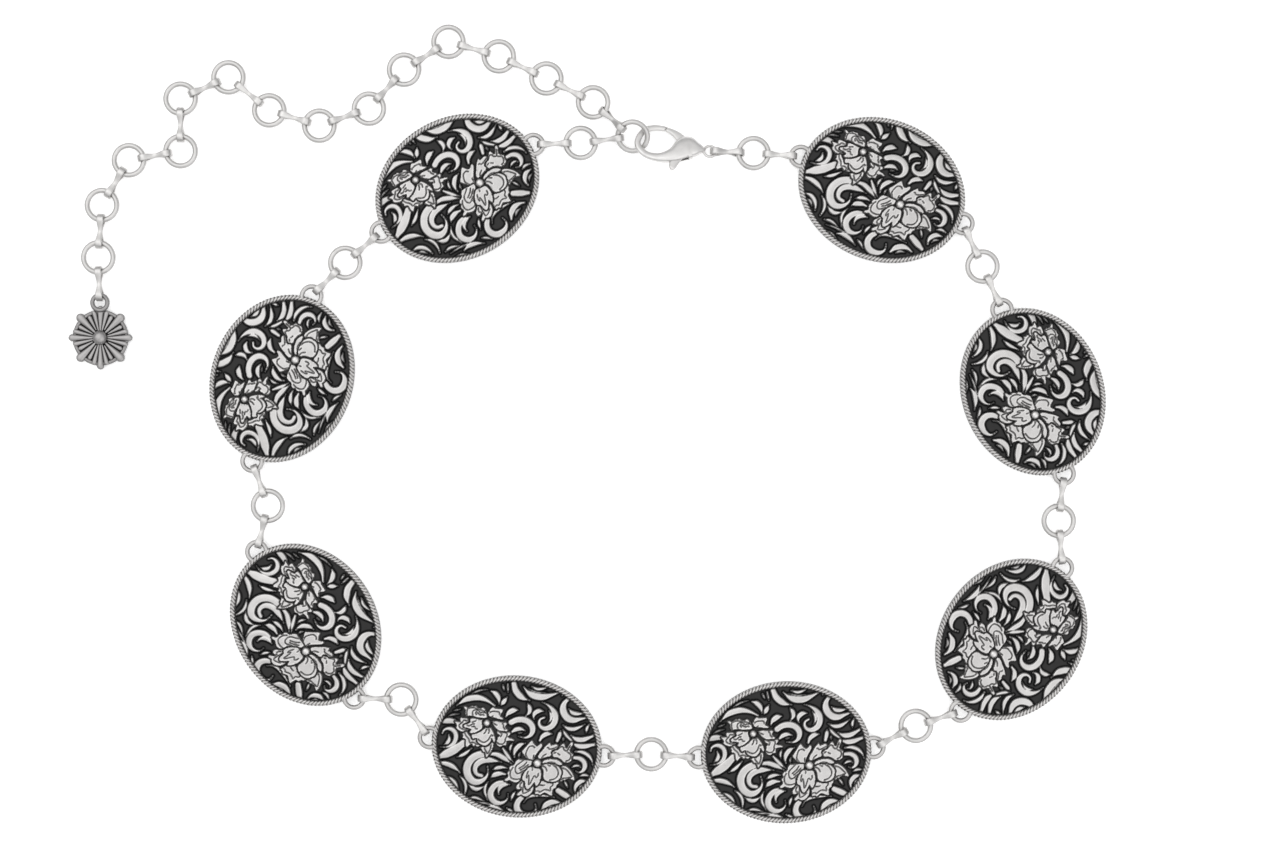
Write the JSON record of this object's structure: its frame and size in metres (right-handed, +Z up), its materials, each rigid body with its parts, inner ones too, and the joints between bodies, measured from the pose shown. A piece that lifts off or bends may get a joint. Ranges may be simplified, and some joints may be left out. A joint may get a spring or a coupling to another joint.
{
  "type": "concho belt",
  "caption": "Western chain belt of oval cast floral conchos joined by round rings and figure-eight links, fastened by a hook clasp, with an extension chain and a rosette charm.",
  "frame": {"origin": "middle of the belt's outline seen from above, on the surface that the belt lies on", "axes": "+X to the right of the flat-laid belt, +Y towards the clasp, +Z up from the surface"},
  "size_m": [0.3642, 0.2802, 0.0073],
  "materials": {
    "cast_silver": "antiqued silver plate on a casting, bright on the worn tops and black in the recesses",
    "polished_silver": "polished silver plate, smooth and bright",
    "charm_silver": "antiqued silver plate on a casting, dark between the rays"
  },
  "bodies": {
    "belt": {"end_ring": "polished_silver", "link_1": "polished_silver", "link_2": "polished_silver", "link_3": "polished_silver", "link_4": "polished_silver", "link_5": "polished_silver", "link_6": "polished_silver", "link_7": "polished_silver", "link_8": "polished_silver", "link_9": "polished_silver", "link_10": "polished_silver", "link_11": "polished_silver", "link_12": "polished_silver", "link_13": "polished_silver", "link_14": "polished_silver", "link_15": "polished_silver", "link_16": "polished_silver", "link_17": "polished_silver", "link_18": "polished_silver", "ring_1": "polished_silver", "ring_2": "polished_silver", "ring_3": "polished_silver", "ring_4": "polished_silver", "ring_5": "polished_silver", "ring_6": "polished_silver", "ring_7": "polished_silver", "ring_8": "polished_silver", "ring_9": "polished_silver", "concho_1": "cast_silver", "concho_2": "cast_silver", "concho_3": "cast_silver", "concho_4": "cast_silver", "concho_5": "cast_silver", "concho_6": "cast_silver", "concho_7": "cast_silver", "concho_8": "cast_silver", "clasp_body": "polished_silver", "extension_chain": "polished_silver", "charm": "charm_silver"},
    "lever": {"clasp_lever": "polished_silver"}
  },
  "joints": [
    {"name": "lever_hinge", "type": "hinge", "parent": "belt", "child": "lever", "pos_m": [0.03419, 0.09743, 0.00315], "axis": [0.0648, 0.3358, 0.9397], "range_deg": [0, 25], "stiffness_Nm_per_rad": 0.03, "springref_deg": -17.19}
  ]
}
